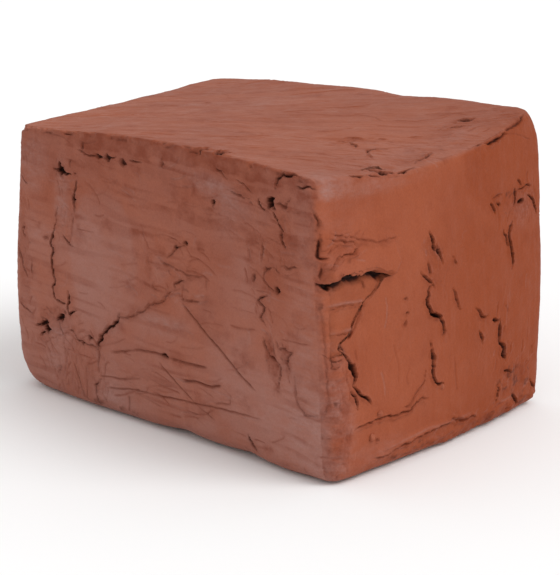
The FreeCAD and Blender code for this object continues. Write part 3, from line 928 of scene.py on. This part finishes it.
WORK = (tear_scar, carve_crack, carve_pit, carve_score, spread_scratches, smear_haze, tint_patch)
FEATURES = {
    FRONT: (FRONT_SCARS, FRONT_CRACKS, FRONT_PITS, FRONT_SCORES, FRONT_SCRATCHES, FRONT_HAZE, FRONT_PATCHES),
    RIGHT: (RIGHT_SCARS, RIGHT_CRACKS, RIGHT_PITS, RIGHT_SCORES, RIGHT_SCRATCHES, RIGHT_HAZE, RIGHT_PATCHES),
    TOP: (TOP_SCARS, TOP_CRACKS, TOP_PITS, [], TOP_SCRATCHES, TOP_HAZE),
    BACK: (BACK_SCARS, BACK_CRACKS, BACK_PITS, BACK_SCORES, BACK_SCRATCHES, BACK_HAZE),
    LEFT: (LEFT_SCARS, LEFT_CRACKS, LEFT_PITS, LEFT_SCORES, LEFT_SCRATCHES, LEFT_HAZE),
}
SEED_STEP = 20  # from one feature's seed to the next one's


def work_features(skin):
    """Tear, crack, pit, score and stain each face by its lists."""
    seed = 100
    for face, lists in FEATURES.items():
        for work, items in zip(WORK, lists):
            for item in items:
                seed += SEED_STEP
                work(skin, face, item, seed)


def shape_skin(skin):
    """All the relief and the tints of the block. Its base stays nearly flat, on the floor."""
    push_skin(skin)
    set_ground_tints(skin)
    square_rim(skin)
    swell(skin)
    drag_top(skin)
    drag_sides(skin)
    roughen_base_edge(skin)
    work_features(skin)
    on_base = smooth(skin.normals[:, 2], -0.7, -0.95)
    height = (skin.raised - skin.cut) * (1 - on_base) + np.minimum(0.0, skin.raised - 1.0) * 0.3 * on_base
    skin.points = skin.points + skin.normals * height[:, None]
    skin.points[:, 2] = np.maximum(skin.points[:, 2], 0.0)
    skin.measure()
    for tint in skin.tints:
        skin.tints[tint] = np.clip(skin.tints[tint], 0, 1)


# ---------------------------------------------------------------- the pieces


def border_edges(quads):
    """The directed edges round a set of quads: each is one that no other quad of the set runs back along."""
    edges = np.concatenate([quads[:, (k, (k + 1) % 4)] for k in range(4)])
    size = quads.max() + 1
    forward = edges[:, 0] * size + edges[:, 1]
    back = edges[:, 1] * size + edges[:, 0]
    return edges[~np.isin(forward, back)]


def add_mesh(name, points, faces, normals, tints):
    """A smooth object from points in millimetres, with its normals and its tints."""
    mesh = bpy.data.meshes.new(name)
    mesh.from_pydata((points * MM).tolist(), [], faces)
    for tint, values in tints.items():
        attribute = mesh.attributes.new(tint, "FLOAT", "POINT")
        attribute.data.foreach_set("value", values.astype(np.float32))
    mesh.polygons.foreach_set("use_smooth", np.ones(len(mesh.polygons), bool))
    mesh.update()
    mesh.normals_split_custom_set_from_vertices(normals.tolist())
    obj = bpy.data.objects.new(name, mesh)
    bpy.context.scene.collection.objects.link(obj)
    return obj


def inner_rim(skin, edge, rim, middle, undercut):
    """Where the wall round a piece ends: down from its edge, and a little in towards its middle."""
    inwards = -skin.smooth_normals[rim]
    towards = middle - edge
    towards -= inwards * (towards * inwards).sum(axis=1)[:, None]
    towards /= np.linalg.norm(towards, axis=1)[:, None] + 1e-9
    return edge + inwards * WALL + towards * undercut


def closed_mesh(skin, chosen, name, sunk=None, undercut=UNDERCUT):
    """One piece, closed: its part of the skin, a wall round its edge, and a fan to a point inside."""
    quads = skin.quads[chosen]
    border = border_edges(quads)
    used, index = np.unique(quads, return_inverse=True)
    rim = np.unique(border)
    place_in_used = np.full(len(skin.points), -1)
    place_in_used[used] = np.arange(len(used))
    place_in_rim = np.full(len(skin.points), -1)
    place_in_rim[rim] = np.arange(len(rim)) + len(used)
    surface = skin.points[used]
    if sunk is not None:
        surface = surface - skin.smooth_normals[used] * sunk[used][:, None]
    middle = surface.mean(axis=0)
    low = inner_rim(skin, surface[place_in_used[rim]], rim, middle, undercut)
    apex = middle + (skin.points.mean(axis=0) - middle) * APEX_DEPTH
    points = np.concatenate([surface, low, [apex]])
    normals = np.concatenate([skin.normals[used], skin.smooth_normals[rim], [[0, 0, 1]]])
    faces = index.reshape(-1, 4).tolist()
    for a, b in border.tolist():
        low_a, low_b = int(place_in_rim[a]), int(place_in_rim[b])
        faces.append([int(place_in_used[b]), int(place_in_used[a]), low_a, low_b])
        faces.append([low_b, low_a, len(points) - 1])
    tints = {tint: np.concatenate([values[used], values[rim], [0.0]]) for tint, values in skin.tints.items()}
    return add_mesh(name, points, faces, normals, tints)


def seam_distance(skin, first, second):
    """How far each point near the seam between two nodes is from it, and infinity for the others."""
    inside = [np.unique(skin.quads[skin.labels == skin.names.index(name)]) for name in (first, second)]
    seam = skin.points[np.intersect1d(*inside)]
    distance = np.full(len(skin.points), np.inf)
    margin = 10
    low, high = seam.min(axis=0) - margin, seam.max(axis=0) + margin
    near = np.flatnonzero(((skin.points > low) & (skin.points < high)).all(axis=1))
    for point in seam:
        distance[near] = np.minimum(distance[near], np.linalg.norm(skin.points[near] - point, axis=1))
    return distance


def make_pocket_floor(skin):
    """The part of the core that shows in the pocket, with a painted shadow under the torn tongue. It runs on
    under the edges of the leaves round it.
    """
    on_right = skin.facing[RIGHT][skin.quads[:, 0]] > 0.5
    is_core = skin.labels == skin.names.index("core")
    share = np.zeros(len(skin.points))
    share[skin.quads[is_core & on_right].ravel()] = 1
    for _ in range(int(POCKET_MARGIN / skin.spacing[1])):
        share = skin.average(share)
    chosen = share[skin.quads].min(axis=1) > 1e-3
    under_tongue = smooth(seam_distance(skin, "side_torn_tongue", "core"), 6.0, 1.0)
    sunk = 1.0 + 6.5 * under_tongue
    # Painted shadow under the torn tongue's lower edge.
    skin.stain("crack", smooth(under_tongue, 0.25, 0.7))
    return closed_mesh(skin, chosen, "pocket_floor", sunk=sunk)


def make_core(nodes):
    """The core's skin on the back, the left and the base. Its edges dip under the leaves."""
    skin = Skin(nodes, COARSE)
    shape_skin(skin)
    share = skin.share_of("core", 3)
    covered = np.maximum(np.maximum(skin.facing[FRONT], skin.facing[RIGHT]), skin.facing[TOP]) > 0.5
    share[covered] = 0
    chosen = share[skin.quads].min(axis=1) > 0.05
    sunk = CORE_DIP * smooth(0.6 - share, 0.0, 0.6)
    return closed_mesh(skin, chosen, "core_skin", sunk=sunk)


def lift_tongue(skin):
    """The torn tongue stands out from the block, most at its lower edge."""
    lower_edge = smooth(skin.points[:, 2], 124.0, 107.0)
    skin.raised += TONGUE_LIFT * skin.share_of("side_torn_tongue", 4) * lower_edge


def make_pieces(nodes):
    """Every visible piece of the block but the crumbs, with the CAD node that it stands for."""
    skin = Skin(nodes, FINE)
    lift_tongue(skin)
    shape_skin(skin)
    pieces = []
    for number, name in enumerate(skin.names):
        if name == "core":
            continue
        undercut = TONGUE_UNDERCUT if name == "side_torn_tongue" else UNDERCUT
        piece = closed_mesh(skin, skin.labels == number, name + "_skin", undercut=undercut)
        pieces.append((piece, name))
    pieces.append((make_pocket_floor(skin), "core"))
    pieces.append((make_core(nodes), "core"))
    return pieces


def make_crumbs(node):
    """The CAD crumbs, made lumpy."""
    mesh = node.data.copy()
    points = np.zeros(len(mesh.vertices) * 3)
    mesh.vertices.foreach_get("co", points)
    points = points.reshape(-1, 3) / MM
    shift = [0.5 * noise(points, 1.6, 900 + axis) for axis in range(3)]
    points += np.stack(shift, axis=1)
    mesh.vertices.foreach_set("co", (points * MM).ravel())
    mesh.update()
    crumbs = bpy.data.objects.new("crumbs_skin", mesh)
    bpy.context.scene.collection.objects.link(crumbs)
    return crumbs


# ---------------------------------------------------------------- the clay

# The tones that the clay turns to, and the moist clay of each material slot, as linear colours.
# In order: a dried wash of clay with a painted sheen; the same with painted highlights along ridges; torn
# clay, also painted shade; damp clay; painted shade in creases; painted shade, near black, deep in cracks.
DRY_AND_SHEEN = (0.330, 0.135, 0.100, 1)
SLIP_AND_HIGHLIGHT = (0.350, 0.177, 0.148, 1)
TORN_AND_SHADE = (0.185, 0.036, 0.015, 1)
DAMP = (0.255, 0.050, 0.014, 1)
CREASE_SHADE = (0.085, 0.018, 0.009, 1)
DEEP_SHADE = (0.028, 0.010, 0.007, 1)
CLAY = {
    "skin_clay": (0.305, 0.073, 0.030),
    "wire_cut_clay": (0.305, 0.077, 0.033),
    "core_clay": (0.285, 0.068, 0.027),
    "crumb_clay": (0.315, 0.088, 0.045),
}


class Nodes:
    """Short ways to add and join shader nodes in one material."""

    def __init__(self, material):
        material.use_nodes = True
        self.tree = material.node_tree
        self.tree.nodes.clear()

    def add(self, kind, settings=None, inputs=None):
        node = self.tree.nodes.new(kind)
        for key, value in (settings or {}).items():
            setattr(node, key, value)
        for key, value in (inputs or {}).items():
            self.join(value, node.inputs[key])
        return node

    def join(self, value, socket):
        if isinstance(value, bpy.types.NodeSocket):
            self.tree.links.new(value, socket)
        else:
            socket.default_value = value

    def noise(self, vector, scale, detail=4.0, roughness=0.55):
        inputs = {"Vector": vector, "Scale": scale, "Detail": detail, "Roughness": roughness}
        return self.add("ShaderNodeTexNoise", inputs=inputs).outputs["Fac"]

    def stretched(self, vector, scale):
        return self.add("ShaderNodeMapping", inputs={"Vector": vector, "Scale": scale}).outputs["Vector"]

    def math(self, operation, a, b=0.0):
        node = self.add("ShaderNodeMath", {"operation": operation})
        self.join(a, node.inputs[0])
        self.join(b, node.inputs[1])
        return node.outputs[0]

    def span(self, value, low, high, out_low=0.0, out_high=1.0):
        inputs = {"Value": value, "From Min": low, "From Max": high, "To Min": out_low, "To Max": out_high}
        return self.add("ShaderNodeMapRange", inputs=inputs).outputs["Result"]

    def mix(self, share, a, b, blend="MIX"):
        node = self.add("ShaderNodeMix", {"data_type": "RGBA", "blend_type": blend})
        self.join(share, node.inputs[0])
        self.join(a, node.inputs[6])
        self.join(b, node.inputs[7])
        return node.outputs[2]

    def grey(self, value):
        inputs = {"Red": value, "Green": value, "Blue": value}
        return self.add("ShaderNodeCombineColor", inputs=inputs).outputs[0]

    def tint(self, name):
        return self.add("ShaderNodeAttribute", {"attribute_name": name}).outputs["Fac"]


def clay_colour(nodes, clay, mottle, grain):
    """Moist clay: greyer under a dried wash of clay and a painted sheen, paler along ridges as a painted
    highlight, redder where it is torn, darker with painted shade high on the front and under the top's rim,
    and near black with painted shade deep in the cracks.
    """
    place = nodes.add("ShaderNodeTexCoord").outputs["Object"]
    clouds = nodes.noise(place, 16.0, 5.0)
    deeper = (clay[0] * 0.86, clay[1] * 0.80, clay[2] * 0.78, 1)
    lighter = (clay[0] * 1.10, clay[1] * 1.14, clay[2] * 1.16, 1)
    colour = nodes.mix(nodes.span(clouds, 0.3, 0.7), deeper, lighter)
    colour = nodes.mix(nodes.tint("damp"), colour, DAMP)
    haze = nodes.math("MULTIPLY", nodes.tint("haze"), nodes.span(mottle, 0.3, 0.65, 0.75, 1.2))
    colour = nodes.mix(haze, colour, DRY_AND_SHEEN)
    streaks = nodes.noise(nodes.stretched(place, (1, 1, 2.4)), 260.0)
    slip = nodes.math("MULTIPLY", nodes.tint("slip"), nodes.span(streaks, 0.35, 0.65, 0.55, 1.15))
    colour = nodes.mix(nodes.math("MULTIPLY", slip, 0.8), colour, SLIP_AND_HIGHLIGHT)
    # Torn, redder clay, and painted shade high on the front and under the top's rim.
    torn = nodes.math("MULTIPLY", nodes.tint("fresh"), nodes.span(mottle, 0.35, 0.6, 0.35, 1.0))
    colour = nodes.mix(nodes.math("MULTIPLY", torn, 0.8), colour, TORN_AND_SHADE)
    # Painted shade: creased, then near black deep in cracks, pits and under the torn tongue.
    crack = nodes.tint("crack")
    colour = nodes.mix(nodes.span(crack, 0.0, 0.45), colour, CREASE_SHADE)
    colour = nodes.mix(nodes.span(crack, 0.4, 0.95), colour, DEEP_SHADE)
    return nodes.mix(1.0, colour, nodes.grey(nodes.span(grain, 0.3, 0.7, 0.92, 1.08)), "MULTIPLY")


def clay_material(name, clay):
    """One clay, matt, with a fine bumpy grain."""
    material = bpy.data.materials.new(name)
    nodes = Nodes(material)
    place = nodes.add("ShaderNodeTexCoord").outputs["Object"]
    mottle = nodes.noise(place, 110.0, 6.0, 0.62)
    grain = nodes.noise(place, 1100.0, 3.0, 0.6)
    relief = nodes.math("ADD", nodes.math("MULTIPLY", mottle, 1.0), nodes.math("MULTIPLY", grain, 0.16))
    bump = nodes.add("ShaderNodeBump", inputs={"Strength": 0.6, "Distance": 0.0011, "Height": relief})
    shader = nodes.add("ShaderNodeBsdfPrincipled")
    nodes.join(clay_colour(nodes, clay, mottle, grain), shader.inputs["Base Color"])
    nodes.join(nodes.span(mottle, 0.3, 0.7, 0.5, 0.72), shader.inputs["Roughness"])
    nodes.join(bump.outputs["Normal"], shader.inputs["Normal"])
    shader.inputs["Specular IOR Level"].default_value = 0.14
    output = nodes.add("ShaderNodeOutputMaterial")
    nodes.join(shader.outputs[0], output.inputs["Surface"])
    return material


# ---------------------------------------------------------------- floor, light and camera

AMBIENT = 0.80
SUN = 1.25
SUN_WIDTH = 35.0  # degrees
SUN_FROM = (0.62, 0.22, 0.75)
AZIMUTH = 41.09  # of the camera, in degrees from the front towards the right
ELEVATION = 16.17  # degrees
DISTANCE = 1.2095
TARGET = (0.0048, 0.00098, 0.0642)
LENS = 135.0


def make_floor():
    """A pale floor, a hair below the block."""
    bpy.ops.mesh.primitive_plane_add(size=60.0, location=(0, 0, -0.0002))
    floor = bpy.context.object
    floor.name = "floor"
    material = bpy.data.materials.new("pale_floor")
    nodes = Nodes(material)
    shader = nodes.add("ShaderNodeBsdfDiffuse", inputs={"Color": (0.95, 0.95, 0.95, 1)})
    output = nodes.add("ShaderNodeOutputMaterial")
    nodes.join(shader.outputs[0], output.inputs["Surface"])
    floor.data.materials.append(material)
    floor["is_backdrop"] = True


def make_world():
    """Soft light from all round. The camera sees it as plain white."""
    world = bpy.data.worlds.new("studio")
    bpy.context.scene.world = world
    world.use_nodes = True
    tree = world.node_tree
    tree.nodes.clear()
    path = tree.nodes.new("ShaderNodeLightPath")
    level = tree.nodes.new("ShaderNodeMapRange")
    level.inputs["To Min"].default_value = AMBIENT
    level.inputs["To Max"].default_value = 1.0
    background = tree.nodes.new("ShaderNodeBackground")
    background.inputs["Color"].default_value = (1, 1, 1, 1)
    output = tree.nodes.new("ShaderNodeOutputWorld")
    tree.links.new(path.outputs["Is Camera Ray"], level.inputs["Value"])
    tree.links.new(level.outputs["Result"], background.inputs["Strength"])
    tree.links.new(background.outputs[0], output.inputs["Surface"])


def make_sun():
    """A wide soft key light from above on the right."""
    data = bpy.data.lights.new("key", "SUN")
    data.energy = SUN
    data.angle = math.radians(SUN_WIDTH)
    sun = bpy.data.objects.new("key", data)
    sun.rotation_euler = Vector(SUN_FROM).to_track_quat("Z", "Y").to_euler()
    bpy.context.scene.collection.objects.link(sun)


def make_camera():
    """A long lens that looks at the target from the front and right, a little from above."""
    azimuth, elevation = math.radians(AZIMUTH), math.radians(ELEVATION)
    level = math.cos(elevation)
    back = Vector((math.sin(azimuth) * level, -math.cos(azimuth) * level, math.sin(elevation)))
    data = bpy.data.cameras.new("camera")
    data.lens = LENS
    data.sensor_width = 36.0
    data.clip_end = 100.0
    camera = bpy.data.objects.new("camera", data)
    camera.location = Vector(TARGET) + back * DISTANCE
    camera.rotation_euler = back.to_track_quat("Z", "Y").to_euler()
    bpy.context.scene.collection.objects.link(camera)
    bpy.context.scene.camera = camera


# ---------------------------------------------------------------- everything together


def build():
    """Make the pieces, dress each in its node's clay, and light them."""
    nodes = frame["nodes"]
    leaves = [nodes[name] for name in sorted(nodes) if name != "crumbs"]
    slot_of = {part["node"]: part["material_slot"] for part in frame["record"]["subparts"]}
    materials = {slot: clay_material(slot, clay) for slot, clay in CLAY.items()}
    pieces = make_pieces(leaves)
    pieces.append((make_crumbs(nodes["crumbs"]), "crumbs"))
    for piece, node in pieces:
        slot = slot_of[node]
        piece.data.materials.clear()
        piece.data.materials.append(materials[slot])
        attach(piece, "root")
        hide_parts(node)
    make_floor()
    make_world()
    make_sun()
    make_camera()
    bpy.context.scene.view_settings.view_transform = "Standard"


build()
